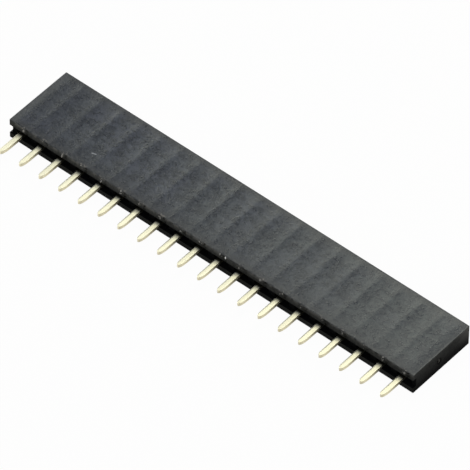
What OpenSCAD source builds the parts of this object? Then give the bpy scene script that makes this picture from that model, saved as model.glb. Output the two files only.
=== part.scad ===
// Single-row socket strip for 0.64 mm square pins, lying on one wide side.
// X runs along the row, +Y is the mating direction, -Y is the side of the
// solder tails, and +Z is up. The origin is under the middle of the strip,
// tails included, on the surface that it lies on.

/* [Row] */
// Number of contacts in the row
positions = 20; // [2:1:40]
// Distance from one contact to the next
pitch = 2.54; // [2.5:0.01:3.96]
// Plastic from the middle of an end contact to the end of the strip
end_margin = 1.47; // [1.27:0.01:3]

/* [Housing] */
// Height of the housing, from the board to the mating face
body_h = 8.5; // [7.5:0.1:13]
// Thickness of the housing, across the row
body_t = 2.5; // [2.3:0.05:4]
// Width of the open channel between the two rails on the board side
channel_w = 1.1; // [0.8:0.05:1.4]
// Depth of that channel
channel_depth = 0.5; // [0.2:0.05:0.8]
// Fillet along the bottom of the channel
channel_fillet = 0.1; // [0.05:0.01:0.15]
// Rounding of the rails' outer edges
rail_r = 0.15; // [0.05:0.01:0.3]
// Rounding of the mating face's edges and of the strip's four corners
edge_r = 0.08; // [0.02:0.01:0.3]
// Diameter of the dimple where the moulding was fed, on one end
gate_d = 0.9; // [0.5:0.05:1.4]
// Depth of that dimple
gate_depth = 0.14; // [0.05:0.01:0.25]
// Height of its middle above the board
gate_h = 4; // [2:0.1:6]
// Diameter of the broken-off stub inside it
gate_stub_d = 0.3; // [0.1:0.05:0.4]

/* [Sockets] */
// Width of the pocket that holds the base of a contact
pocket_w = 1.8; // [1.7:0.02:2.1]
// Thickness of that pocket, across the row
pocket_t = 1.1; // [1:0.02:1.3]
// Height of the shoulder that stops a contact, from the board
shoulder_h = 2.8; // [2.4:0.05:3.4]
// Thickness of the chamber that the leaves flex in, across the row
chamber_t = 0.9; // [0.7:0.02:0.96]
// Thickness of plastic between that chamber and the mating face
mouth_wall = 1.2; // [0.9:0.05:1.8]
// Side of the square mouth that a pin goes through
mouth_w = 0.9; // [0.74:0.02:1]
// Side of the funnel in front of the mouth
funnel_w = 1.6; // [1.1:0.02:1.9]
// Depth of the funnel
funnel_depth = 0.5; // [0.2:0.02:0.8]

/* [Contact tail] */
// Thickness of the sheet that a contact is stamped from
sheet_t = 0.2; // [0.15:0.01:0.22]
// Length of the tail below the housing
tail_len = 3.05; // [2.4:0.05:6]
// Width of the tail, where the sheet is folded double
tail_w = 0.64; // [0.5:0.02:0.8]
// Length of the tapered end of the tail
taper_len = 1.2; // [0.6:0.05:1.8]
// Fullness of the taper: 2 is an ellipse, and more is blunter
taper_power = 2.2; // [1.8:0.1:3]
// Depth of the seam between the two layers, on the open edge
seam_depth = 0.05; // [0.02:0.01:0.1]

/* [Contact base] */
// Height of the doubled tail's upper end above the board
root_h = 0.6; // [0.5:0.02:0.8]
// Height of the bend from the tail out to the retention plate
joggle_h = 0.56; // [0.5:0.02:0.7]
// Height of the flat retention plate
plate_h = 0.64; // [0.4:0.02:0.8]
// How far each barb stands out of the plate's side
barb_h = 0.09; // [0.04:0.01:0.12]
// Length of each barb along the plate
barb_len = 0.3; // [0.15:0.01:0.36]
// Inner radius of the bends that fold up the base's side walls
fold_r = 0.08; // [0.04:0.01:0.12]

/* [Contact leaves] */
// Free gap between the two leaves, at their narrowest
leaf_gap = 0.34; // [0.2:0.02:0.5]
// Width of a leaf where it leaves the base
leaf_root_w = 0.7; // [0.5:0.02:0.74]
// Width of a leaf at its tip
leaf_tip_w = 0.44; // [0.3:0.02:0.48]
// Distance from the inner side of the mouth down to the narrowest gap
pinch_depth = 1.1; // [0.95:0.05:1.6]
// Angle at which the tips flare apart
flare_angle = 25; // [15:1:30]
// Straight length of the flared tip
flare_len = 0.35; // [0.2:0.01:0.4]

/* [Clearances] */
// Gap between the base of a contact and the walls of its pocket
seat_gap = 0.02; // [0.01:0.005:0.04]
// Gap between the tips of the barbs and the walls of the pocket
barb_gap = 0.01; // [0.005:0.001:0.02]
// Room on the outer side of each leaf at the shoulder
leaf_room = 0.05; // [0.02:0.01:0.08]

/* [Hidden] */
function contact_name(i) = str("contact_", i < 9 ? "0" : "", i + 1);

plastic = [0.09, 0.095, 0.1];
gold_flash = [0.93, 0.87, 0.68];
cut = 0.1;             // overrun of a cut past the face that it opens
arc_step = 30;         // largest turn between two points of an arc, in degrees
taper_step = 15;       // the same along the tapered end of a tail

body_len = (positions - 1) * pitch + 2 * end_margin;
seat_y = (tail_len - body_h) / 2;
mid_z = body_t / 2;
chamber_top = body_h - mouth_wall;

base_w = pocket_w - 2 * (barb_h + barb_gap);
base_t = pocket_t - 2 * seat_gap;
base_top = shoulder_h - seat_gap;
chamber_w = base_w + 2 * leaf_room;
plate_z = (sheet_t - base_t) / 2;      // middle of the plate's sheet
plate_bottom = root_h + joggle_h;
wall_bottom = plate_bottom + plate_h;
joggle_lap = sheet_t / 2;              // length that it shares with tail and plate
joggle_r = sheet_t;                    // middle of the sheet, as the next radii
leaf_root_r = 4 * sheet_t;
pinch_r = 4 * sheet_t;
seam_w = sheet_t / 8;

leaf_bend_h = base_top - sheet_t;      // where a leaf starts to lean in
leaf_root_x = (base_w - sheet_t) / 2;  // middle of a leaf's sheet
pinch_x = (leaf_gap + sheet_t) / 2;
pinch_h = chamber_top - pinch_depth;
leaf_taper_h = pinch_h + pinch_r * sin(flare_angle) + flare_len + sheet_t;

function contact_x(i) = (i - (positions - 1) / 2) * pitch;

// Points of an arc, both ends included
function arc_points(centre, radius, from, to) =
    let (steps = max(1, ceil(abs(to - from) / arc_step)))
    [for (k = [0:steps])
        let (a = from + (to - from) * k / steps)
        centre + radius * [cos(a), sin(a)]];

function reversed(points) = [for (k = [len(points) - 1:-1:0]) points[k]];

// Angle at which a strip leans between two opposite bends of centre-line
// radius r1 and r2 that move it sideways by shift over a height of rise
function lean(shift, rise, r1, r2) =
    atan2(rise, r1 + r2 - shift) - acos((r1 + r2) / norm([r1 + r2 - shift, rise]));

// One face of a sheet that goes straight up from the origin by start, leans to
// the left between two bends, turns past upright by flare degrees, and ends in
// a straight of length end. side is 1 for its right face, -1 for its left face.
function s_bend_face(side, start, shift, rise, r1, r2, flare, end) =
    let (a = lean(shift, rise, r1, r2),
        half = side * sheet_t / 2,
        second = arc_points([r2 - shift, start + rise], r2 - half, 180 + a, 180 - flare))
    concat(
        [[half, 0]],
        arc_points([-r1, start], r1 + half, 0, a),
        second,
        [second[len(second) - 1] + end * [sin(flare), cos(flare)]]);

function s_bend(start, shift, rise, r1, r2, flare, end) = concat(
    s_bend_face(1, start, shift, rise, r1, r2, flare, end),
    reversed(s_bend_face(-1, start, shift, rise, r1, r2, flare, end)));

// Turns a profile drawn in Y and Z into a solid along X, centred on X
module along_row(length) {
    rotate([90, 0, 90]) linear_extrude(length, center = true) children();
}

// Turns a profile drawn in X and Z into a solid along Y, from y0 to y1
module up_from_board(y0, y1) {
    translate([0, y1, 0]) rotate([90, 0, 0]) linear_extrude(y1 - y0) children();
}

// ---- Housing, in its own place: the board is at Y 0, and Z 0 is its middle ----

module housing_section() {
    half_t = body_t / 2;
    half_c = channel_w / 2;
    polygon(concat(
        arc_points([rail_r, rail_r - half_t], rail_r, 180, 270),
        arc_points([body_h - edge_r, edge_r - half_t], edge_r, 270, 360),
        arc_points([body_h - edge_r, half_t - edge_r], edge_r, 0, 90),
        arc_points([rail_r, half_t - rail_r], rail_r, 90, 180),
        [[0, half_c]],
        arc_points([channel_depth - channel_fillet, half_c - channel_fillet],
            channel_fillet, 90, 0),
        arc_points([channel_depth - channel_fillet, channel_fillet - half_c],
            channel_fillet, 0, -90),
        [[0, -half_c]]));
}

module housing_plan() {
    x = body_len / 2 - edge_r;
    polygon(concat(
        arc_points([x, edge_r], edge_r, -90, 0),
        arc_points([x, body_h - edge_r], edge_r, 0, 90),
        arc_points([-x, body_h - edge_r], edge_r, 90, 180),
        arc_points([-x, edge_r], edge_r, 180, 270)));
}

module funnel_side() {
    polygon([
        [-mouth_w / 2, body_h - funnel_depth], [-funnel_w / 2, body_h],
        [-funnel_w / 2, body_h + cut], [funnel_w / 2, body_h + cut],
        [funnel_w / 2, body_h], [mouth_w / 2, body_h - funnel_depth]]);
}

module funnel() {
    intersection() {
        linear_extrude(funnel_w + cut, center = true) funnel_side();
        rotate([0, 90, 0]) linear_extrude(funnel_w + cut, center = true) funnel_side();
    }
}

module socket() {
    up_from_board(channel_depth - cut, shoulder_h) square([pocket_w, pocket_t], center = true);
    up_from_board(shoulder_h - cut, chamber_top) square([chamber_w, chamber_t], center = true);
    up_from_board(chamber_top - cut, body_h + cut) square(mouth_w, center = true);
    funnel();
}

// Ball-shaped dimple on the end of the strip, around the stub of the feed,
// which ends a third of the dimple's depth below the face
module gate_mark() {
    ball_r = (pow(gate_d / 2, 2) + pow(gate_depth, 2)) / (2 * gate_depth);
    stub_h = gate_depth * 2 / 3;
    translate([body_len / 2 - gate_depth, gate_h, 0]) rotate([0, 90, 0]) difference() {
        translate([0, 0, ball_r]) sphere(ball_r, $fn = 32);
        translate([0, 0, -cut]) cylinder(h = stub_h + cut, d = gate_stub_d, $fn = 16);
    }
}

module housing() {
    color(plastic) translate([0, seat_y, mid_z]) difference() {
        intersection() {
            along_row(body_len + 2 * cut) housing_section();
            linear_extrude(body_t + 2 * cut, center = true) housing_plan();
        }
        for (i = [0:positions - 1]) translate([contact_x(i), 0, 0]) socket();
        gate_mark();
    }
}

// ---- One contact, centred on X 0 and Z 0, with the board at Y 0 ----

// Half width of the tapered end, s of the way from its start to its tip
function taper_half(s) = tail_w / 2 * pow(1 - pow(s, taper_power), 1 / taper_power);

module tail_outline() {
    taper_y = taper_len - tail_len;
    side = [for (a = [0:taper_step:89])
        [taper_half(sin(a)), taper_y - taper_len * sin(a)]];
    polygon(concat(
        [[tail_w / 2, root_h]], side, [[0, -tail_len]],
        [for (p = reversed(side)) [-p[0], p[1]]], [[-tail_w / 2, root_h]]));
}

// Section of the doubled sheet: folded round on the left, a seam on the right
module doubled_sheet() {
    half_w = tail_w / 2;
    difference() {
        polygon(concat(
            [[half_w, -sheet_t], [half_w, sheet_t]],
            arc_points([sheet_t - half_w, 0], sheet_t, 90, 270)));
        translate([half_w - seam_depth, -seam_w / 2]) square([seam_depth + cut, seam_w]);
    }
}

module tail() {
    intersection() {
        linear_extrude(2 * sheet_t + cut, center = true) tail_outline();
        up_from_board(-tail_len - cut, root_h + cut) doubled_sheet();
    }
}

// Strip from the tail's lower layer out to the retention plate. It starts
// inside the one and ends inside the other.
module joggle() {
    profile = s_bend(joggle_lap, -plate_z - sheet_t / 2, joggle_h,
        joggle_r, joggle_r, 0, joggle_lap);
    along_row(tail_w)
        polygon([for (p = profile) [root_h - joggle_lap + p[1], p[0] - sheet_t / 2]]);
}

module retention_plate() {
    half_w = base_w / 2;
    barb_y = plate_bottom + (plate_h - barb_len) / 2;
    flat_half = half_w - sheet_t - fold_r;
    side = [[half_w, plate_bottom], [half_w, barb_y], [half_w + barb_h, barb_y],
        [half_w, barb_y + barb_len], [half_w, wall_bottom],
        [flat_half, wall_bottom], [flat_half, base_top]];
    translate([0, 0, plate_z]) linear_extrude(sheet_t, center = true)
        polygon(concat(side, [for (p = reversed(side)) [-p[0], p[1]]]));
}

// Section of the folded base: the plate below and a wall up each side
module base_section() {
    half_w = base_w / 2;
    half_t = base_t / 2;
    outer_r = fold_r + sheet_t;
    fold = [half_w - outer_r, outer_r - half_t];
    right = concat(
        arc_points(fold, outer_r, -90, 0),
        [[half_w, half_t], [half_w - sheet_t, half_t]],
        arc_points(fold, fold_r, 0, -90));
    polygon(concat(right, [for (p = reversed(right)) [-p[0], p[1]]]));
}

// Edge outline of a leaf, drawn in Y and Z
module leaf_outline() {
    polygon([
        [wall_bottom, -leaf_root_w / 2], [leaf_bend_h, -leaf_root_w / 2],
        [leaf_taper_h, -leaf_tip_w / 2], [leaf_taper_h, leaf_tip_w / 2],
        [leaf_bend_h, leaf_root_w / 2], [wall_bottom, leaf_root_w / 2]]);
}

// One spring leaf, on the right: it leans in, pinches, and flares at the tip
module leaf() {
    profile = s_bend(leaf_bend_h - wall_bottom, leaf_root_x - pinch_x, pinch_h - leaf_bend_h,
        leaf_root_r, pinch_r, flare_angle, flare_len);
    intersection() {
        translate([leaf_root_x, wall_bottom, 0]) linear_extrude(base_t, center = true)
            polygon(profile);
        along_row(2 * base_w) leaf_outline();
    }
}

module contact(i) {
    color(gold_flash) translate([contact_x(i), seat_y, mid_z]) {
        tail();
        joggle();
        retention_plate();
        up_from_board(wall_bottom, base_top) base_section();
        leaf();
        mirror([1, 0, 0]) leaf();
    }
}

housing();
for (i = [0:positions - 1])
    contact(i);
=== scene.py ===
# %% [markdown]
# # A female pin header, dressed around its CAD frame
#
# A female pin header is a black moulded strip with a row of spring contacts
# pressed into it. Its flat gold tails are soldered into a circuit board, and
# the square mouths on the other side take the pins of a second board. The
# CAD frame already holds every real size. Blender's job is the finish: the
# moulding's soft edges, its faint sink marks and grain, and the pale plating.
#
# Each cell prints what it made, so the script reads like a bench log.

# %% Load the frame
import math

import bmesh
import bpy
from mathutils import Matrix, Vector


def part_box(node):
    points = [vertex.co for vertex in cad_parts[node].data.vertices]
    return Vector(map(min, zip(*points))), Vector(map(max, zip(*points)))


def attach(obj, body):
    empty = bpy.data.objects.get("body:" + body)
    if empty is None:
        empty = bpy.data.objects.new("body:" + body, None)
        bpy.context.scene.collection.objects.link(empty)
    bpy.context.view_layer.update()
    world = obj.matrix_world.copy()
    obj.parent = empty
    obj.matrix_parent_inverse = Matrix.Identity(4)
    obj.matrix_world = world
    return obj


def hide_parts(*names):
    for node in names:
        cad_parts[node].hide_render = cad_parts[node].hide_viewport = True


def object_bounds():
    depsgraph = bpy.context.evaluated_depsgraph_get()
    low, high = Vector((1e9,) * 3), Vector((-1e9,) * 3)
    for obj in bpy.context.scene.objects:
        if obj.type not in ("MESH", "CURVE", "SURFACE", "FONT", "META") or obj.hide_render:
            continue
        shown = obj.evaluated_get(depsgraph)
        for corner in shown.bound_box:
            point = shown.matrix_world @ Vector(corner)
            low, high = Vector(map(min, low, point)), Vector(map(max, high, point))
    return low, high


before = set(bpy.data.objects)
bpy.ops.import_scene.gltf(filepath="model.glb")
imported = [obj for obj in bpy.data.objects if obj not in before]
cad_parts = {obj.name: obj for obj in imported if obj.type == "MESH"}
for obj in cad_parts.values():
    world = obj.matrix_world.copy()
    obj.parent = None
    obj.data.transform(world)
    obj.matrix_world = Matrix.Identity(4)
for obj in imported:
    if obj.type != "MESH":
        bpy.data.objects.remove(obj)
cad_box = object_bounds()

MM = 0.001
contact_nodes = sorted(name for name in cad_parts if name.startswith("contact_"))
print("nodes:", len(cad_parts), "of them contacts:", len(contact_nodes))

# %% [markdown]
# ## Measure the strip from its frame
#
# Nothing is placed by eye. The pitch is the distance between the middles of
# two neighbouring contacts, and the board side is the low Y end of the
# housing. The tails end at the low Y side of the whole frame's box. Every
# later cell takes its places from these few values.

# %% Pitch, board side and mating side
housing_low, housing_high = (Vector(corner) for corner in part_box("housing"))


def middle_x(node):
    low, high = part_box(node)
    return (low[0] + high[0]) / 2


contact_x = [middle_x(name) for name in contact_nodes]
pitch = (contact_x[-1] - contact_x[0]) / (len(contact_x) - 1)
board_y, mating_y = housing_low.y, housing_high.y
top_z = housing_high.z
middle_z = (housing_low.z + housing_high.z) / 2
tail_length = board_y - cad_box[0][1]
print("pitch %.3f mm, tails %.2f mm, housing %.2f x %.2f x %.2f mm" % (
    pitch / MM, tail_length / MM, *((housing_high - housing_low) / MM)))

# %% [markdown]
# ## Camera
#
# A strip this flat is usually pictured with a very long lens from above one
# corner, which keeps the pitch nearly even from end to end. The camera looks
# at a point near the middle of the strip. Its azimuth is counted from
# straight in front of the tails, toward +X.

# %% Place the camera
view_azimuth = math.radians(39.895)
view_elevation = math.radians(47.574)
view_roll = math.radians(0.687)
view_distance = 728.9 * MM
view_target = Vector((0.064, 1.115, 1.0)) * MM

camera_data = bpy.data.cameras.new("corner_view")
camera_data.lens = 577.1
camera_data.sensor_width = 36
camera_data.shift_x = 0.0014
camera_data.shift_y = -0.00105
camera_data.clip_start = 0.05
camera = bpy.data.objects.new("corner_view", camera_data)
bpy.context.collection.objects.link(camera)
toward_camera = Vector((
    math.cos(view_elevation) * math.sin(view_azimuth),
    -math.cos(view_elevation) * math.cos(view_azimuth),
    math.sin(view_elevation)))
camera.location = view_target + toward_camera * view_distance
look = toward_camera.to_track_quat("Z", "Y").to_matrix()
camera.rotation_euler = (look @ Matrix.Rotation(view_roll, 3, "Z")).to_euler()
bpy.context.scene.camera = camera
print("camera at", [round(value / MM, 1) for value in camera.location], "mm")

# %% [markdown]
# ## A short way to write node trees
#
# Node trees are easier to read as arithmetic. `Wire` holds one socket, and
# adding or multiplying wires adds the Math nodes. `Bench` adds any other
# node: its settings go in first, then the values or wires for its sockets.
# The same two helpers serve the materials, the Geometry Nodes trees and the
# world.

# %% Wires


class Wire:
    """A socket that can be used in sums."""

    def __init__(self, tree, socket):
        self.tree = tree
        self.socket = socket

    def math(self, operation, *values, clamp=False):
        """A Math node in the wire's tree, fed with wires or plain numbers."""
        node = self.tree.nodes.new("ShaderNodeMath")
        node.operation = operation
        node.use_clamp = clamp
        for slot, value in zip(node.inputs, values):
            if isinstance(value, Wire):
                self.tree.links.new(value.socket, slot)
            else:
                slot.default_value = value
        return Wire(self.tree, node.outputs[0])

    def __add__(self, other):
        return self.math("ADD", self, other)

    def __radd__(self, other):
        return self.math("ADD", other, self)

    def __sub__(self, other):
        return self.math("SUBTRACT", self, other)

    def __rsub__(self, other):
        return self.math("SUBTRACT", other, self)

    def __mul__(self, other):
        return self.math("MULTIPLY", self, other)

    def __rmul__(self, other):
        return self.math("MULTIPLY", other, self)

    def __truediv__(self, other):
        return self.math("DIVIDE", self, other)

    def __rtruediv__(self, other):
        return self.math("DIVIDE", other, self)

    def clamped(self):
        """The value held between 0 and 1."""
        return self.math("ADD", self, 0.0, clamp=True)

    def size(self):
        """The value without its sign."""
        return self.math("ABSOLUTE", self)

    def sign(self):
        return self.math("SIGN", self)

    def root(self):
        return self.math("SQRT", self)

    def rounded(self):
        return self.math("ROUND", self)

    def floored(self):
        return self.math("FLOOR", self)

    def smaller(self, other):
        return self.math("MINIMUM", self, other)

    def larger(self, other):
        return self.math("MAXIMUM", self, other)

    def above(self, limit):
        """1 where the value is above the limit, and 0 elsewhere."""
        return self.math("GREATER_THAN", self, limit)


print("wires ready")

# %% The bench


class Bench:
    """Adds nodes to one tree. Sockets are found by number, by identifier or by name."""

    def __init__(self, tree):
        self.tree = tree

    def find(self, sockets, key):
        if isinstance(key, int):
            return sockets[key]
        for socket in sockets:
            if socket.identifier == key:
                return socket
        return sockets[key]

    def add(self, kind, settings=None, inputs=None):
        made = self.tree.nodes.new(kind)
        for key, value in (settings or {}).items():
            setattr(made, key, value)
        for key, value in (inputs or {}).items():
            socket = self.find(made.inputs, key)
            if isinstance(value, Wire):
                self.tree.links.new(value.socket, socket)
            else:
                socket.default_value = value
        return made

    def node(self, kind, settings=None, inputs=None, out=0):
        made = self.add(kind, settings, inputs)
        return Wire(self.tree, self.find(made.outputs, out))

    def step(self, value, low, high, to_low=0.0, to_high=1.0):
        """A soft step: to_low up to low, to_high from high on."""
        return self.node("ShaderNodeMapRange", {"interpolation_type": "SMOOTHSTEP"}, {
            "Value": value, "From Min": low, "From Max": high,
            "To Min": to_low, "To Max": to_high}, out="Result")

    def fade(self, value, low, high):
        """A soft step down: 1 up to low, 0 from high on."""
        return 1 - self.step(value, low, high)

    def mix(self, factor, first, second):
        """The first colour where the factor is 0, and the second where it is 1."""
        return self.node("ShaderNodeMix", {"data_type": "RGBA"}, {
            "Factor_Float": factor, "A_Color": first, "B_Color": second},
            out="Result_Color")

    def parts(self, vector):
        made = self.add("ShaderNodeSeparateXYZ", None, {"Vector": vector})
        return [Wire(self.tree, socket) for socket in made.outputs]

    def vector(self, x=0.0, y=0.0, z=0.0):
        return self.node("ShaderNodeCombineXYZ", None, {"X": x, "Y": y, "Z": z})


print("bench ready")

# %% [markdown]
# ## A short way to write finishes
#
# `Finish` is a bench with a Principled shader on it. Its patterns are laid
# out in millimetres of the piece itself, so a worn rim of 0.3 mm is written
# as 0.3, and it stays put when the piece is seen from elsewhere. What is the
# same all over goes on the shader's own socket, and only what changes is
# wired.

# %% Finishes


class Finish(Bench):
    """A Principled material whose patterns are measured in millimetres."""

    def __init__(self, name, **constants):
        self.material = bpy.data.materials.new(name)
        self.material.use_nodes = True
        super().__init__(self.material.node_tree)
        self.shader = next(
            node for node in self.tree.nodes if node.type == "BSDF_PRINCIPLED")
        for key, value in constants.items():
            self.shader.inputs[key.replace("_", " ")].default_value = value
        place = self.node("ShaderNodeTexCoord", out="Object")
        self.mm = self.node("ShaderNodeVectorMath", {"operation": "SCALE"}, {
            "Vector": place, "Scale": 1 / MM}, out="Vector")
        self.x, self.y, self.z = self.parts(self.mm)

    def stretched(self, x, y, z):
        """The place in millimetres, scaled for a pattern that is drawn out where it is below 1."""
        return self.node("ShaderNodeVectorMath", {"operation": "MULTIPLY"}, {
            0: self.mm, 1: (x, y, z)}, out="Vector")

    def noise(self, per_mm, detail=2.0, roughness=0.5, vector=None):
        """Cloudy noise between 0 and 1, with about so many clouds to a millimetre."""
        return self.node("ShaderNodeTexNoise", None, {
            "Vector": vector or self.mm, "Scale": per_mm,
            "Detail": detail, "Roughness": roughness}, out="Fac")

    def bump(self, height_mm):
        return self.node("ShaderNodeBump", None, {
            "Height": height_mm, "Distance": MM, "Strength": 1.0}, out="Normal")

    def feed(self, **wires):
        for key, wire in wires.items():
            self.tree.links.new(wire.socket, self.shader.inputs[key.replace("_", " ")])


print("finish helpers ready")

# %% [markdown]
# ## Where wear and painted light sit
#
# Wear follows the part, and so do the light and shade painted into the
# colour: a rim, an end, a tail, or the spot beside a contact. So the finishes
# ask how far a point is from those, in millimetres, instead of naming
# coordinates, and the marks would move along if the strip in the frame grew.

# %% Distances on the strip, in millimetres


def from_board_side(finish):
    """From the board side into the housing, and below 0 along the tails."""
    return finish.y - board_y / MM


def along_tail(finish):
    """From the board side out along the tails, and below 0 in the housing."""
    return board_y / MM - finish.y


def from_mating_side(finish):
    return mating_y / MM - finish.y


def from_left_end(finish):
    return finish.x - housing_low.x / MM


def from_right_end(finish):
    return housing_high.x / MM - finish.x


def left_to_right(finish, at_left=0.0, at_right=1.0):
    """A value that changes softly from the left end of the strip to the right end."""
    return finish.step(finish.x, housing_low.x / MM, housing_high.x / MM, at_left, at_right)


def beside_contact(finish, to_right, inner, outer):
    """1 within inner mm of a line to_right mm beside each contact, 0 from outer mm on."""
    turn = (finish.x - (contact_x[0] / MM + to_right)) / (pitch / MM)
    across = (turn - turn.rounded()).size() * (pitch / MM)
    return finish.fade(across, inner, outer)


print("distances ready, over %.1f mm of strip" % ((housing_high.x - housing_low.x) / MM))

# %% [markdown]
# ## The wide faces' finish
#
# Headers are moulded in black nylon or polyester with short glass fibre in
# it. The two wide faces come off a spark-eroded mould face, so they have a
# fine, even grain and a dull sheen. Flow streaks run along the sockets, the
# way the melt went in, some broad patches are bluer, and the odd light speck
# is a fibre end at the surface. The colour is cooler toward the left end and
# warmer toward the right: the painted colour of the light. Painted shade
# darkens the face toward the board side and both ends, and painted highlights
# pale narrow bands near the left end and the mating side. Within a millimetre
# of both long edges the colour is darker and browner. Handling wears the very
# board-side edge paler, and the tool that pushes a contact home scuffs the
# edge beside it. This strip also has one short scratch, and one bright fleck
# on its top edge.
#
# A picture of grain would repeat and blur. Noise laid out in millimetres
# does neither, and one noise can drive colour, roughness and bump together,
# so that a rough spot is also a paler one, as on the real skin.

# %% Marks on the skin
pure_black = (0.0, 0.0, 0.0, 1)
fleck_colour = (0.75, 0.74, 0.70, 1)


def scratch_mask(finish):
    """1 on a straight scratch in the top face near the left end, and 0 away from it."""
    # Both ends of the scratch, from the strip's left end and from its board side.
    start, end = Vector((9.10, 1.905)), Vector((9.48, 2.045))
    half_width = 0.09
    along = (end - start).normalized()
    px, py = from_left_end(finish) - start.x, from_board_side(finish) - start.y
    reach = (px * along.x + py * along.y).smaller((end - start).length).larger(0.0)
    dx, dy = px - reach * along.x, py - reach * along.y
    on_top = finish.step(finish.z, top_z / MM - 0.2, top_z / MM - 0.1)
    return on_top * finish.fade(dx * dx + dy * dy, 0.0, half_width * half_width)


def fleck_mask(finish):
    """1 on the one bright fleck, at the rail's top edge near the middle contact."""
    half_length, half_depth, half_height = 0.08, 0.10, 0.17
    right_of_contact, below_top = 0.91, 0.16
    dx = (finish.x - (contact_x[len(contact_x) // 2] / MM + right_of_contact)) / half_length
    dy = from_board_side(finish) / half_depth
    dz = (finish.z - (top_z / MM - below_top)) / half_height
    return finish.fade(dx * dx + dy * dy + dz * dz, 0.5, 1.1)


def scuff_mask(finish):
    """1 on the board-side edge of the wide face beside each contact, and 0 elsewhere."""
    return beside_contact(finish, 0.35, 0.2, 0.6) * finish.fade(from_board_side(finish), 0.08, 0.38)


def painted_rim_light_masks(finish):
    """Painted shade on the board side and both ends, and painted highlights on the left and mating
    rims.
    """
    board_rim = finish.fade(from_board_side(finish), 0.0, 3.0)
    right_rim = finish.fade(from_right_end(finish), 0.0, 1.3)
    left_shade = finish.fade(from_left_end(finish), 0.0, 10.0)
    left_rim = finish.fade(from_left_end(finish), 0.3, 0.9)
    mating_rim = finish.fade(from_mating_side(finish), 1.1, 1.9)
    # Painted shade where the sheen falls off, and painted highlights along two rims.
    dark = (0.5 * board_rim).larger(0.85 * right_rim).larger(0.35 * left_shade)
    pale = (0.6 * left_rim).larger(0.22 * mating_rim)
    return dark, pale


print("marks ready: one scratch, one fleck, and scuffs at", len(contact_x), "contacts")

# %% Grained skin of the wide faces


def mottled_skin(finish, cloud, blotch, grain, pore):
    """Black with the painted colour of the light, cooler to the left and warmer to the right,
    bluish patches and fibre ends.
    """
    to_right = left_to_right(finish)
    # The cool left and warm right are the painted colour of the light, and the bluish patches fade
    # toward the right with it.
    tint = finish.mix(to_right, (0.034, 0.037, 0.042, 1), (0.037, 0.041, 0.035, 1))
    bluish = finish.step(finish.noise(0.25, detail=0.0), 0.40, 0.62, 0.0, 0.6)
    tint = finish.mix(bluish * (1 - 0.7 * to_right), tint, (0.032, 0.034, 0.046, 1))
    tone = finish.step(0.2 * cloud + 0.26 * blotch + 0.27 * grain + 0.27 * pore, 0.435, 0.575)
    colour = finish.mix(tone, (0.0, 0.001, 0.002, 1), tint)
    fibre = finish.noise(5.0, detail=1.0, vector=finish.stretched(0.5, 1.7, 1.0))
    return finish.mix(0.35 * finish.step(fibre, 0.70, 0.78), colour, (0.20, 0.20, 0.19, 1))


def rim_wear_and_painted_light(finish, colour, blotch, grain):
    """The colour with darker, browner long edges, painted shade and highlights on the rims, and a
    worn board-side edge.
    """
    # Darker and browner within a millimetre of both long edges.
    to_edge = from_board_side(finish).smaller(from_mating_side(finish))
    darker_long_edges = finish.fade(to_edge, 0.2, 1.0) * (0.5 + 0.8 * grain)
    colour = finish.mix(0.7 * darker_long_edges, colour, (0.022, 0.019, 0.013, 1))
    painted_rim_shade, painted_rim_highlight = painted_rim_light_masks(finish)
    # Painted shade darkens the board side and both ends, and painted highlights pale the left and
    # mating rims.
    colour = finish.mix(painted_rim_shade, colour, pure_black)
    colour = finish.mix(painted_rim_highlight, colour, (0.055, 0.053, 0.047, 1))
    worn = finish.fade(from_board_side(finish), 0.0, 0.35)
    worn = worn * finish.step(0.5 * blotch + 0.5 * grain, 0.42, 0.58)
    return finish.mix(worn, colour, (0.062, 0.058, 0.048, 1))


def grained_skin():
    finish = Finish("black_grained_skin", IOR=1.5)
    cloud = finish.noise(0.7, detail=3.0)
    streak = finish.noise(1.4, detail=2.0, vector=finish.stretched(1.0, 0.16, 1.0))
    blotch = finish.noise(
        1.7, detail=2.0, roughness=0.6, vector=finish.stretched(0.85, 1.1, 1.0))
    grain = finish.noise(3.6, detail=3.0, roughness=0.7)
    pore = finish.noise(8.0, detail=2.0, roughness=0.7)
    chip = finish.noise(4.5, detail=2.0, roughness=0.6)
    scuffed = scuff_mask(finish)
    scratch = scratch_mask(finish)
    colour = mottled_skin(finish, cloud, blotch, grain, pore)
    colour = rim_wear_and_painted_light(finish, colour, blotch, grain)
    colour = finish.mix(scuffed * finish.step(chip, 0.53, 0.62), colour, (0.15, 0.13, 0.105, 1))
    colour = finish.mix(scuffed * finish.fade(chip, 0.40, 0.47), colour, pure_black)
    colour = finish.mix(0.9 * scratch, colour, (0.22, 0.22, 0.215, 1))
    colour = finish.mix(fleck_mask(finish), colour, fleck_colour)
    finish.feed(
        Base_Color=colour,
        Roughness=(
            0.105 + 0.02 * cloud + 0.03 * streak + 0.12 * blotch + 0.24 * grain
            + 0.3 * scuffed),
        Normal=finish.bump(
            0.022 * blotch + 0.027 * grain + 0.018 * pore + 0.008 * streak
            + 0.03 * scuffed * chip - 0.01 * scratch))
    return finish.material


skin_finish = grained_skin()
print("finish:", skin_finish.name, "with", len(skin_finish.node_tree.nodes), "nodes")

# %% [markdown]
# ## The narrow sides' finish
#
# The rails, the ends and the mating side were shut off by other blocks of the
# mould, which are neither eroded nor polished. They look deep black: hardly
# any sheen, a finer grain, and slight drag lines where the part slid out.
# Painted shade and light make them darker toward the bottom and paler higher
# up, with a pale foot and brow along the rails, the upper paleness stronger at
# the left end, paler far corners and a pale top rim. The rail has a dark nick
# beside each contact. One end has the gate mark, where the melt came in: a
# shallow pit with a torn stub, and the pit is darkened with painted shade. The
# channel and the sockets get a plainer, darker black, which is painted shade.
#
# The low sheen is a setting of the whole surface, so it sits on the socket,
# and the painted light and shade are masks that rise with height or toward a
# corner.

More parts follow.
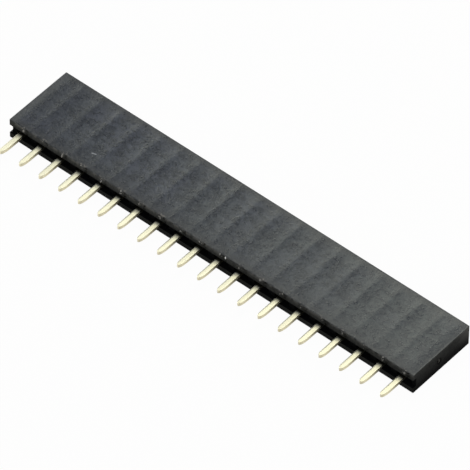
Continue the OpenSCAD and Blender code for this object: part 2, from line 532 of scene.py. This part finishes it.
# %% Find the gate mark


def find_gate():
    """The middle of the gate mark, from the only vertices inside the outline of the right end."""
    deepest, from_sides, from_faces = 0.2 * MM, 1.0 * MM, 0.3 * MM
    marks = [
        vertex.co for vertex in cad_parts["housing"].data.vertices
        if housing_high.x - vertex.co.x < deepest
        and board_y + from_sides < vertex.co.y < mating_y - from_sides
        and from_faces < vertex.co.z < top_z - from_faces]
    return [
        (min(mark[axis] for mark in marks) + max(mark[axis] for mark in marks)) / 2
        for axis in (1, 2)]


gate_y, gate_z = find_gate()
print("gate mark at y %.3f mm, z %.3f mm" % (gate_y / MM, gate_z / MM))

# %% Plain black of the narrow sides


def gate_masks(finish):
    """The pit of the gate mark on the right end, which gets painted shade, and the torn line across
    its stub.
    """
    dy, dz = finish.y - gate_y / MM, finish.z - gate_z / MM
    away = (dy * dy + dz * dz).root()
    at_end = finish.fade(from_right_end(finish), 0.2, 0.3)
    pit = at_end * finish.fade(away, 0.22, 0.40)
    torn = at_end * finish.fade(dy.size(), 0.05, 0.14) * finish.fade(away, 0.18, 0.32)
    return pit, torn


def painted_corner_light(finish, height, on_rail):
    """Painted light on the far corners, most of all at their top, and on the top rim off the rail.
    """
    to_end = housing_high.x / MM - finish.x.size()
    top_rim = finish.step(height, 0.87, 0.97)
    corner = finish.fade(to_end, 0.1, 1.2) * finish.fade(from_mating_side(finish), 0.0, 2.4)
    corner = corner * (finish.step(height, 0.1, 0.9, 0.08, 1.0) + 0.8 * top_rim)
    return corner + 0.12 * (1 - on_rail) * top_rim


def narrow_black():
    """Deep black with painted light and shade: paler toward the top rim and the far corners, darker
    toward the bottom, with nicks on the rail.
    """
    finish = Finish("black_narrow_sides", IOR=1.5, Specular_IOR_Level=0.01)
    blotch = finish.noise(1.6, detail=3.0, roughness=0.6)
    drag = finish.noise(3.0, detail=2.0, vector=finish.stretched(1.0, 0.2, 1.0))
    grain = finish.noise(5.0, detail=3.0, roughness=0.7)
    mottle = 0.3 * blotch + 0.2 * drag + 0.5 * grain
    height = finish.z / (top_z / MM)
    on_rail = finish.fade(from_board_side(finish), 0.02, 0.15)
    # Painted shade and light: paler with height and mottled, with a pale foot and brow along the
    # rail.
    foot = on_rail * finish.fade(height, 0.24, 0.54)
    brow = on_rail * finish.step(height, 0.69, 0.83)
    tone = (1.08 + 3.6 * (mottle - 0.5)) * height + 0.45 * foot + 0.3 * brow - 0.19
    # High on the rail, the painted light is stronger at the left end and weaker at the right.
    lean = 1 + on_rail * finish.step(height, 0.5, 1.0) * left_to_right(finish, 0.4, -0.38)
    tone = (0.7 * tone * lean).clamped()
    colour = finish.mix(tone, (0.0008, 0.0008, 0.0008, 1), (0.045, 0.045, 0.0407, 1))
    # A painted highlight along the rail's top rim, broken up by the blotch noise.
    painted_rail_highlight = on_rail * finish.step(height, 0.83, 1.03) * finish.step(blotch, 0.42, 0.58, 0.1, 1.2)
    painted_rail_highlight = (0.85 * lean * painted_rail_highlight).clamped()
    colour = finish.mix(painted_rail_highlight, colour, (0.092, 0.088, 0.077, 1))
    nick = beside_contact(finish, 0.82, 0.05, left_to_right(finish, 0.28, 0.5)) * on_rail
    nick = nick * finish.step(grain, 0.4, 0.6) * finish.step(height, 0.6, 0.75)
    colour = finish.mix(nick, colour, (0.002, 0.002, 0.001, 1))
    # Painted light on the far corners and along the top rim off the rail.
    corner = painted_corner_light(finish, height, on_rail)
    colour = finish.mix(corner * (0.5 + grain), colour, (0.068, 0.066, 0.060, 1))
    pit, torn = gate_masks(finish)
    # Painted shade in the gate mark's pit.
    colour = finish.mix(pit, colour, (0.002, 0.002, 0.002, 1))
    colour = finish.mix(torn, colour, (0.062, 0.060, 0.052, 1))
    colour = finish.mix(fleck_mask(finish), colour, fleck_colour)
    finish.feed(
        Base_Color=colour,
        Roughness=0.48 + 0.14 * grain,
        Normal=finish.bump(0.012 * grain + 0.006 * drag))
    return finish.material


side_finish = narrow_black()
print("finish:", side_finish.name, "with", len(side_finish.node_tree.nodes), "nodes")

# %% Painted shade: the darker black of the inside


def shaded_inside_black():
    """Darker still, a painted shade for the channel, the sockets and whatever else lies inside."""
    finish = Finish("black_inside", IOR=1.5, Specular_IOR_Level=0.01)
    grain = finish.noise(5.0, detail=3.0, roughness=0.7)
    finish.feed(
        Base_Color=finish.mix(grain, (0.001, 0.001, 0.001, 1), (0.009, 0.009, 0.009, 1)),
        Roughness=0.48 + 0.14 * grain,
        Normal=finish.bump(0.012 * grain))
    return finish.material


shaded_inside_finish = shaded_inside_black()
print("finish:", shaded_inside_finish.name)

# %% [markdown]
# ## The contacts' two finishes
#
# The contacts are stamped from copper alloy strip that is plated first, with
# a very thin, pale gold. So the rolled faces are gold, darkened toward the
# right end of the row with painted shade, and paler along the fold with a
# painted highlight. The cut edges show the bare alloy, which tarnishes to a
# dull brown, but they turn pale along the tail, partly because the tip was
# dipped so that it takes solder and partly as a painted reflection, since near
# the housing they mirror its black. Both darken toward the very tip, and in
# the channel and just out of it the root is darkened with painted shade.
#
# Both are metals: their colour is the colour of what they mirror, so the
# fold, the dip and the root are written as changes of that one colour.

# %% Pale gold plating and bare cut edges


def painted_root_shade(finish, outwards):
    """Painted shade: 1 on a contact in the channel, 0 from so many mm out of it, and 0 again in the
    socket.
    """
    inwards = from_board_side(finish)
    return finish.step(inwards, -outwards, 0.0) * finish.fade(inwards, 1.4, 2.2)


def dark_tip(finish, length_mm, most):
    """A share of black that rises to most over the last length_mm or so of a tail."""
    just_before_tip = tail_length / MM - 0.05
    return finish.step(
        along_tail(finish), just_before_tip - length_mm, just_before_tip, 0.0, most)


def gold_plating():
    finish = Finish("pale_gold_plating", Metallic=1.0)
    cloud = finish.noise(1.3, detail=2.0)
    drawn = finish.noise(9.0, detail=2.0, vector=finish.stretched(1.0, 0.1, 1.0))
    colour = finish.mix(cloud, (0.84, 0.77, 0.55, 1), (0.90, 0.835, 0.63, 1))
    # Painted shade darkens the gold toward the right end of the row, and the tail darkens toward
    # its very tip.
    shade_to_right_and_dark_tip = left_to_right(finish, 0.0, 0.2) + dark_tip(finish, 0.4, 0.05)
    colour = finish.mix(shade_to_right_and_dark_tip, colour, pure_black)
    # Where the faces turn left round the fold, the gold is paler: a painted highlight.
    across, _, _ = finish.parts(finish.node("ShaderNodeNewGeometry", out="Normal"))
    fold = finish.step(-1 * across, 0.1, 0.7)
    colour = finish.mix(fold, colour, (1.0, 0.95, 0.76, 1))
    # Painted shade on the root in the channel.
    colour = finish.mix(painted_root_shade(finish, 0.3), colour, (0.05, 0.045, 0.025, 1))
    finish.feed(
        Base_Color=colour,
        Roughness=0.44 + 0.06 * cloud + 0.04 * drawn,
        Normal=finish.bump(0.0008 * drawn + 0.0008 * cloud))
    return finish.material


def bare_cut_edge():
    finish = Finish("bare_alloy_edge", Metallic=1.0)
    tarnish = finish.noise(2.5, detail=3.0)
    shear = finish.noise(14.0, detail=2.0, vector=finish.stretched(1.0, 1.0, 0.15))
    # Pale along the tail: partly the solder dip of the tip, and partly a painted reflection, since
    # near the housing the edges mirror its black.
    tip_dip_and_reflection = finish.step(along_tail(finish), 0.3, 2.4)
    colour = finish.mix(tarnish, (0.10, 0.082, 0.040, 1), (0.22, 0.185, 0.095, 1))
    colour = finish.mix(0.9 * tip_dip_and_reflection, colour, (0.84, 0.78, 0.56, 1))
    colour = finish.mix(dark_tip(finish, 0.5, 0.2), colour, pure_black)
    # Painted shade on the cut edges in the channel and out to 1.1 mm along the tail.
    colour = finish.mix(painted_root_shade(finish, 1.1), colour, (0.03, 0.027, 0.02, 1))
    finish.feed(
        Base_Color=colour,
        Roughness=0.45 + 0.15 * tarnish,
        Normal=finish.bump(0.0010 * shear))
    return finish.material


gold_finish = gold_plating()
edge_finish = bare_cut_edge()
print("finishes:", gold_finish.name, "and", edge_finish.name)

# %% [markdown]
# ## From CAD triangles to a workable mesh
#
# A CAD node arrives as loose triangles. A copy is merged into one skin, and
# flat triangles are dissolved into whole faces, so that real edges appear.
# An edge gets a bevel weight where it is sharp and stands out, so the Bevel
# modifier softens corners and never fills the inside of a socket. The
# shading is weighted by the size of a face, so that a large flat face stays
# flat right up to its soft edge.

# %% Merge a copy
weld_distance = 0.0005 * MM
flat_angle = math.radians(0.5)


def merged_copy(node, name):
    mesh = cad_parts[node].data.copy()
    mesh.name = name
    mesh.materials.clear()
    bm = bmesh.new()
    bm.from_mesh(mesh)
    bmesh.ops.remove_doubles(bm, verts=bm.verts, dist=weld_distance)
    bmesh.ops.dissolve_limit(bm, angle_limit=flat_angle, verts=bm.verts, edges=bm.edges)
    return mesh, bm


print("copies are welded within %.4f mm" % (weld_distance / MM))

# %% Soften its outer edges
corner_angle = math.radians(50)
soft_edge = 0.025 * MM


def weigh_outer_corners(bm):
    weight = bm.edges.layers.float.new("bevel_weight_edge")
    for edge in bm.edges:
        if len(edge.link_faces) == 2 and edge.is_convex:
            if edge.calc_face_angle() > corner_angle:
                edge[weight] = 1.0


def soft_edged(mesh, bm, name, segments=2, bevel_material=-1):
    weigh_outer_corners(bm)
    bm.to_mesh(mesh)
    bm.free()
    piece = bpy.data.objects.new(name, mesh)
    bpy.context.collection.objects.link(piece)
    bevel = piece.modifiers.new("soft_edges", "BEVEL")
    bevel.width = soft_edge
    bevel.segments = segments
    bevel.limit_method = "WEIGHT"
    bevel.use_clamp_overlap = True
    bevel.material = bevel_material
    return piece


print("soft edges are %.3f mm wide" % (soft_edge / MM))

# %% Turn modifiers into a plain mesh
smooth_angle = math.radians(38)


def apply_modifiers(piece):
    bpy.context.view_layer.update()
    evaluated = piece.evaluated_get(bpy.context.view_layer.depsgraph)
    plain = bpy.data.meshes.new_from_object(evaluated)
    piece.modifiers.clear()
    piece.data = plain


def made_plain(piece):
    """Turn modifiers into a plain mesh: smooth over soft edges, and flat on large faces."""
    apply_modifiers(piece)
    piece.data.shade_smooth()
    piece.data.set_sharp_from_angle(angle=smooth_angle)
    flat_faces = piece.modifiers.new("flat_faces", "WEIGHTED_NORMAL")
    flat_faces.keep_sharp = True
    apply_modifiers(piece)
    return piece


def triangle_count(piece):
    return sum(len(face.vertices) - 2 for face in piece.data.polygons)


print("mesh helpers ready")

# %% [markdown]
# ## A grid on the wide faces
#
# The wide faces sink a little over the thick webs between the sockets. Big
# flat faces can't bend, so they are first cut into a grid: sixteen columns to
# a pitch, because a sink mark is narrow, and far fewer rows, because it runs
# straight along the socket. Only the two wide faces are cut, and the first
# and last rows are thin, so that the shading of the corners stays narrow.

# %% Cut the wide faces
housing_mesh, housing_bm = merged_copy("housing", "moulded_housing")


def is_wide(face):
    """Whether a face is flat and lies in one of the two wide outer planes."""
    is_flat = abs(face.normal.z) > 0.999
    from_middle = abs(face.calc_center_median().z - middle_z)
    return is_flat and from_middle > top_z - middle_z - 0.001 * MM


def cut_in_order(bm, axis, places):
    """Cut the wide faces across one axis, from the lowest place to the highest."""
    normal = Vector((axis == 0, axis == 1, 0))
    touching, beyond = 0.00001 * MM, 0.0001 * MM
    waiting = [face for face in bm.faces if is_wide(face)]
    for place in sorted(places):
        edges = {edge for face in waiting for edge in face.edges}
        verts = {vert for face in waiting for vert in face.verts}
        cut = bmesh.ops.bisect_plane(
            bm, geom=[*waiting, *edges, *verts], dist=touching,
            plane_co=normal * place, plane_no=normal)
        waiting = [
            item for item in cut["geom"] if isinstance(item, bmesh.types.BMFace)
            and max(vert.co[axis] for vert in item.verts) > place + beyond]


row_step = 0.5 * MM
first_row, last_row = board_y + 0.25 * MM, mating_y - 0.2 * MM
row_places = [first_row, last_row] + [
    first_row + row_step * k for k in range(1, int((last_row - first_row) / row_step))]
columns_per_pitch = 16
end_column, narrowest_column = 0.16 * MM, 0.04 * MM
first_column, last_column = housing_low.x + end_column, housing_high.x - end_column
even_columns = [
    contact_x[0] + pitch * k / columns_per_pitch
    for k in range(-columns_per_pitch, columns_per_pitch * (len(contact_x) + 1))]
column_places = [first_column, last_column] + [
    place for place in even_columns
    if first_column + narrowest_column < place < last_column - narrowest_column]
cut_in_order(housing_bm, 1, row_places)
cut_in_order(housing_bm, 0, column_places)
print("grid: %d columns, %d rows, %d faces" % (
    len(column_places), len(row_places), len(housing_bm.faces)))

# %% Give each face its finish
SIDE, INSIDE = 0, 1
deepest_side = 0.16 * MM


def depth_inside(place):
    """How far a point lies from the nearest of the housing's six outer planes."""
    return min(
        min(place[axis] - housing_low[axis], housing_high[axis] - place[axis])
        for axis in range(3))


# Faces deep inside get the darker black, which is painted shade.
for face in housing_bm.faces:
    is_inside = depth_inside(face.calc_center_median()) > deepest_side
    face.material_index = INSIDE if is_inside else SIDE
housing_mesh.materials.append(side_finish)
housing_mesh.materials.append(shaded_inside_finish)
housing = soft_edged(
    housing_mesh, housing_bm, "moulded_housing", segments=1, bevel_material=SIDE)
print("housing:", len(housing.data.polygons), "faces before the soft edges")

# %% [markdown]
# ## Recipes for Geometry Nodes
#
# A recipe is a Geometry Nodes tree with named inputs. A modifier keeps each
# input under its socket's identifier, so `put_on` looks the identifier up and
# sets every value before the piece is first evaluated.

# %% Recipes


class Recipe(Bench):
    """A Geometry Nodes tree with a geometry in, numbers in, and a geometry out."""

    def __init__(self, name, *numbers):
        super().__init__(bpy.data.node_groups.new(name, "GeometryNodeTree"))
        sockets = self.tree.interface
        sockets.new_socket("Geometry", in_out="INPUT", socket_type="NodeSocketGeometry")
        for label in numbers:
            sockets.new_socket(label, in_out="INPUT", socket_type="NodeSocketFloat")
        sockets.new_socket("Geometry", in_out="OUTPUT", socket_type="NodeSocketGeometry")
        self.entry = self.tree.nodes.new("NodeGroupInput")
        self.way_out = self.tree.nodes.new("NodeGroupOutput")

    def given(self, label):
        return Wire(self.tree, self.entry.outputs[label])

    def chance(self, number, low, high, seed):
        """A number between low and high that stays the same for each whole number."""
        return self.node("FunctionNodeRandomValue", {"data_type": "FLOAT"}, {
            "Min_001": low, "Max_001": high, "ID": number, "Seed": seed}, out="Value_001")

    def hand_over(self, geometry):
        self.tree.links.new(geometry.socket, self.way_out.inputs["Geometry"])

    def put_on(self, piece, values):
        modifier = piece.modifiers.new(self.tree.name, "NODES")
        modifier.node_group = self.tree
        for item in self.tree.interface.items_tree:
            if item.in_out == "INPUT" and item.name in values:
                modifier[item.identifier] = values[item.name]


print("recipe helper ready")

# %% [markdown]
# ## Sink marks
#
# Where two sockets meet, the plastic is thick and cools last, so it pulls the
# skin in: a narrow valley over every web, with a broad low crown over every
# socket. The valleys are only hundredths of a millimetre deep, and show as
# soft bands because the sheen slides over them. They are weaker and narrower
# near the board side, a little deeper far from the gate, where less melt is
# packed in, and they stop short of the edges, which the mould holds flat.
# Each valley lies a little to the left of the middle of its web, and each
# end wall has a dip of its own.
#
# They could be painted or bumped, but then a low view would show a dead flat
# face. Here a rule moves the grid itself: each point finds its nearest web
# and sinks by a bell-shaped share of the depth. The same recipe knows which
# faces are wide, so it also gives them their grained skin.

# %% Recipe for sink marks


def valley_share(recipe, web, from_board, along_web):
    """1 in the middle of the valley over the nearest web, falling off to its sides."""
    given = recipe.given
    number = web.rounded()
    # Neighbouring valleys read the noise far apart, so each wanders in its own way.
    far_apart, wander_range = 7.3, 0.2 * MM
    wander = recipe.node("ShaderNodeTexNoise", {"noise_dimensions": "2D"}, {
        "Vector": recipe.vector(number * far_apart, along_web), "Scale": 1.0}, out="Fac")
    width = given("Half Width") * recipe.step(from_board, 0.5 * MM, 4.0 * MM, 0.75, 1.0)
    away = ((web - number) * given("Pitch") + (wander - 0.5) * wander_range) / width
    return 1 / (1 + away * away)


def end_dip_share(recipe, to_end, off_edges):
    """1 in the middle of an end wall's dip, which is steeper on the side of the end."""
    lowest_place, steep_half, gentle_half = 0.95 * MM, 0.4 * MM, 1.3 * MM
    width = recipe.step(to_end, 0.9 * MM, 1.1 * MM, steep_half, gentle_half)
    away = (to_end - lowest_place) / width
    return off_edges * recipe.step(to_end, 0.1 * MM, 0.3 * MM) / (1 + away * away)


def sink_recipe():
    recipe = Recipe(
        "sink_marks", "Pitch", "First Web", "Depth", "Half Width", "End Depth", "Board Side",
        "Mating Side", "Left End", "Right End", "Middle Height", "Half Thickness")
    given = recipe.given
    x, y, z = recipe.parts(recipe.node("GeometryNodeInputPosition"))
    from_board, from_mating = y - given("Board Side"), given("Mating Side") - y
    to_end = (x - given("Left End")).smaller(given("Right End") - x)
    web = (x - given("First Web")) / given("Pitch")
    wander_length = 2.5 * MM
    valley = valley_share(recipe, web, from_board, y / wander_length)
    off_edges = recipe.step(from_board, 0.15 * MM, 0.6 * MM)
    off_edges = off_edges * recipe.step(from_mating, 0.15 * MM, 0.55 * MM)
    fade = off_edges * recipe.step(from_board, 0.3 * MM, 7.0 * MM, 0.45, 1.0)
    fade = fade * recipe.step(to_end, 0.7 * MM, 1.5 * MM)
    end_dip = end_dip_share(recipe, to_end, off_edges)
    lean = recipe.step(x, given("Left End"), given("Right End"), 1.12, 0.95)
    depth = given("Depth") * lean * recipe.chance(web.rounded(), 0.92, 1.08, seed=4)
    sunk = depth * valley * fade + given("End Depth") * end_dip
    height = z - given("Middle Height")
    on_face = height.size().above(given("Half Thickness") - 0.002 * MM)
    moved = recipe.node("GeometryNodeSetPosition", None, {
        "Geometry": given("Geometry"), "Selection": on_face,
        "Offset": recipe.vector(z=-1 * height.sign() * sunk)})
    real = recipe.node("GeometryNodeRealizeInstances", None, {"Geometry": moved})
    upright = recipe.parts(recipe.node("GeometryNodeInputNormal"))[2].size()
    near_face = height.size().above(given("Half Thickness") - 0.1 * MM)
    recipe.hand_over(recipe.node("GeometryNodeSetMaterial", None, {
        "Geometry": real, "Selection": upright.above(0.75) * near_face,
        "Material": skin_finish}))
    return recipe


sink_marks = sink_recipe()
print("recipe:", sink_marks.tree.name, "with", len(sink_marks.tree.nodes), "nodes")

# %% Sink the housing's wide faces
left_of_web = 0.1 * MM
first_web = contact_x[0] + pitch / 2 - left_of_web
sink_marks.put_on(housing, {
    "Pitch": pitch, "First Web": first_web,
    "Depth": 0.0625 * MM, "Half Width": 0.47 * MM, "End Depth": 0.035 * MM,
    "Board Side": board_y, "Mating Side": mating_y,
    "Left End": housing_low.x, "Right End": housing_high.x,
    "Middle Height": middle_z, "Half Thickness": top_z - middle_z})
made_plain(housing)
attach(housing, "root")
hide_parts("housing")
print("housing:", triangle_count(housing), "triangles, materials",
      [slot.name for slot in housing.data.materials])

# %% [markdown]
# ## The contacts
#
# Each contact is stamped, and its blade is folded double: a round fold on one
# side, two cut edges with a seam between them on the other. The CAD node has
# those forms. Its copy gets the burr-free soft corners of a tumbled part, and
# each face gets plating or bare edge by the way it looks: sideways faces were
# cut, except the fold.

# %% Dress the contacts
PLATED, CUT = 0, 1


def dress_contact(node):
    mesh, bm = merged_copy(node, "plated_" + node)
    for face in bm.faces:
        in_tail = face.calc_center_median().y < board_y
        fold = in_tail and face.normal.x < 0
        sideways = abs(face.normal.x) > 0.5
        face.material_index = CUT if sideways and not fold else PLATED
    mesh.materials.append(gold_finish)
    mesh.materials.append(edge_finish)
    piece = made_plain(soft_edged(mesh, bm, "plated_" + node))
    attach(piece, "root")
    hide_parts(node)
    return piece


contacts = [dress_contact(node) for node in contact_nodes]
print("contacts:", len(contacts), "pieces of", triangle_count(contacts[0]), "triangles")

# %% [markdown]
# ## Crumbs of flash along the tail edge
#
# When the contacts are pushed home, the tool scuffs the rail just under its
# top edge, to the right of each tail, and leaves specks of torn plastic that
# are paler than the skin, most of all toward the left end. There are a few at
# each contact, never two alike: work for a seeded scatter. Points are dealt
# out over a small patch, each gets a faceted speck, and nothing may rise above
# the top of the rail.

# %% Torn plastic of the crumbs


def torn_plastic():
    finish = Finish("torn_pale_plastic", IOR=1.5)
    mottle = finish.noise(12.0, detail=2.0)
    colour = finish.mix(mottle, (0.07, 0.062, 0.05, 1), (0.48, 0.45, 0.39, 1))
    finish.feed(
        Base_Color=finish.mix(
            left_to_right(finish, 0.0, 0.55), colour, (0.03, 0.028, 0.024, 1)),
        Roughness=0.5 + 0.3 * mottle)
    return finish.material


torn_finish = torn_plastic()
print("finish:", torn_finish.name)

# %% Recipe for the crumbs


def crumb_recipe():
    recipe = Recipe(
        "edge_crumbs", "Contacts", "Crumbs Each", "Pitch", "First Contact", "Spread",
        "Rail Face", "Rail Top", "Highest", "Lowest", "Crumb Size")
    given = recipe.given
    index = recipe.node("GeometryNodeInputIndex")
    contact = (index / given("Crumbs Each")).floored()
    x = (given("First Contact") + contact * given("Pitch")
         + given("Spread") * recipe.chance(index, -1.0, 1.0, seed=11))
    below = recipe.chance(index, given("Highest"), given("Lowest"), seed=12)
    y = given("Rail Face") + 0.2 * given("Crumb Size")
    z = given("Rail Top") - below
    points = recipe.node("GeometryNodePoints", None, {
        "Count": given("Contacts") * given("Crumbs Each"),
        "Position": recipe.vector(x, y, z)})
    speck = recipe.node("GeometryNodeMeshIcoSphere", None, {
        "Radius": given("Crumb Size"), "Subdivisions": 1}, out="Mesh")
    size = recipe.chance(index, 0.0, 1.0, seed=13)
    size = 0.3 + 0.7 * size * size
    full_turn = 6.28
    spin = recipe.vector(*(
        recipe.chance(index, 0.0, full_turn, seed=seed) for seed in (14, 15, 16)))
    shape = recipe.vector(size * 1.4, size, size * 0.6)
    scattered = recipe.node("GeometryNodeInstanceOnPoints", None, {
        "Points": points, "Instance": speck, "Rotation": spin, "Scale": shape})
    real = recipe.node("GeometryNodeRealizeInstances", None, {"Geometry": scattered})
    px, py, pz = recipe.parts(recipe.node("GeometryNodeInputPosition"))
    below_top = recipe.vector(px, py, pz.smaller(given("Rail Top")))
    held = recipe.node("GeometryNodeSetPosition", None, {
        "Geometry": real, "Position": below_top})
    recipe.hand_over(recipe.node("GeometryNodeSetMaterial", None, {
        "Geometry": held, "Material": torn_finish}))
    return recipe


edge_crumbs = crumb_recipe()
crumbs = bpy.data.objects.new("edge_crumbs", bpy.data.meshes.new("edge_crumbs"))
bpy.context.collection.objects.link(crumbs)
edge_crumbs.put_on(crumbs, {
    "Contacts": len(contact_x), "Crumbs Each": 4, "Pitch": pitch,
    "First Contact": contact_x[0] + 0.27 * MM, "Spread": 0.2 * MM,
    "Rail Face": board_y, "Rail Top": top_z, "Highest": 0.05 * MM, "Lowest": 0.5 * MM,
    "Crumb Size": 0.16 * MM})
made_plain(crumbs)
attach(crumbs, "root")
print("crumbs:", triangle_count(crumbs), "triangles")

# %% [markdown]
# ## Floor
#
# The strip lies on a plain white sheet. Where a camera, a mirror or glass
# looks at the sheet, most of what it sees is a plain white of strength 1, and
# the rest is the lit sheet itself, which keeps a faint soft shadow.

# %% White sheet
half_sheet = 0.6
plain_white_share = 0.97
floor_mesh = bpy.data.meshes.new("white_sheet")
floor_mesh.from_pydata(
    [(x * half_sheet, y * half_sheet, 0) for x, y in ((-1, -1), (1, -1), (1, 1), (-1, 1))],
    [], [(0, 1, 2, 3)])
floor = bpy.data.objects.new("white_sheet", floor_mesh)
floor.location.z = -0.01 * MM
bpy.context.collection.objects.link(floor)


def white_sheet():
    finish = Finish("white_sheet", Base_Color=(0.60, 0.56, 0.49, 1), Roughness=0.9)
    fibre = finish.noise(1.5, detail=3.0)
    finish.feed(Normal=finish.bump(0.004 * fibre))
    rays = finish.add("ShaderNodeLightPath")
    from_camera, from_mirror, through_glass = (
        Wire(finish.tree, rays.outputs[label])
        for label in ("Is Camera Ray", "Is Glossy Ray", "Is Transmission Ray"))
    seen = (from_camera + from_mirror + through_glass).clamped()
    glow = finish.node("ShaderNodeEmission", None, {"Color": (1, 1, 1, 1), "Strength": 1.0})
    mixed = finish.node("ShaderNodeMixShader", None, {
        0: plain_white_share * seen, 1: Wire(finish.tree, finish.shader.outputs[0]), 2: glow})
    output = next(node for node in finish.tree.nodes if node.type == "OUTPUT_MATERIAL")
    finish.tree.links.new(mixed.socket, output.inputs["Surface"])
    return finish.material


floor_mesh.materials.append(white_sheet())
print("floor: %.1f m square" % (2 * half_sheet))

# %% [markdown]
# ## Light
#
# The wide face mirrors a spot behind and above the strip, to the left. A
# large soft box stands there, a little to the right of that spot, so the
# sheen fades toward the left end and slides over the sink marks.
#
# A small thing with metal on it is best lit in a tent of white cloth. Its
# walls are a plain white of strength 1, which the tails mirror along their
# folded edges, and its roof is dimmer and a little cooler. A world gives
# each direction its colour, so the rise of the direction is all it needs.

# %% Soft box


def soft_light(name, place_mm, aim_mm, size_mm, watts, colour):
    data = bpy.data.lights.new(name, "AREA")
    data.shape = "RECTANGLE"
    data.size, data.size_y = size_mm[0] * MM, size_mm[1] * MM
    data.energy = watts
    data.color = colour
    light = bpy.data.objects.new(name, data)
    bpy.context.collection.objects.link(light)
    place, aim = Vector(place_mm) * MM, Vector(aim_mm) * MM
    light.location = place
    light.rotation_euler = (place - aim).to_track_quat("Z", "Y").to_euler()
    return light


soft_box = soft_light(
    "overhead_soft_box", place_mm=(-20, 100, 230), aim_mm=(0, 0, 0), size_mm=(150, 150),
    watts=0.288, colour=(0.98, 1.0, 0.86))
print("light:", soft_box.name, "of %.3f W" % soft_box.data.energy)

# %% Light tent
world = bpy.data.worlds.new("light_tent")
bpy.context.scene.world = world
world.use_nodes = True
tent = Bench(world.node_tree)
rise = tent.parts(tent.node("ShaderNodeTexCoord", out="Generated"))[2]
cloth = tent.mix(tent.step(rise, 0.30, 0.60), (1, 1, 1, 1), (0.47, 0.54, 0.69, 1))
tent.tree.links.new(cloth.socket, world.node_tree.nodes["Background"].inputs["Color"])
bpy.context.scene.view_settings.view_transform = "Standard"
print("world:", world.name, "with", len(world.node_tree.nodes), "nodes")

# %% [markdown]
# ## The frame's size
#
# Dressing must not change the part. The box of the CAD frame is printed.

# %% Sizes
print("CAD box   ", [[round(value / MM, 3) for value in corner] for corner in cad_box])
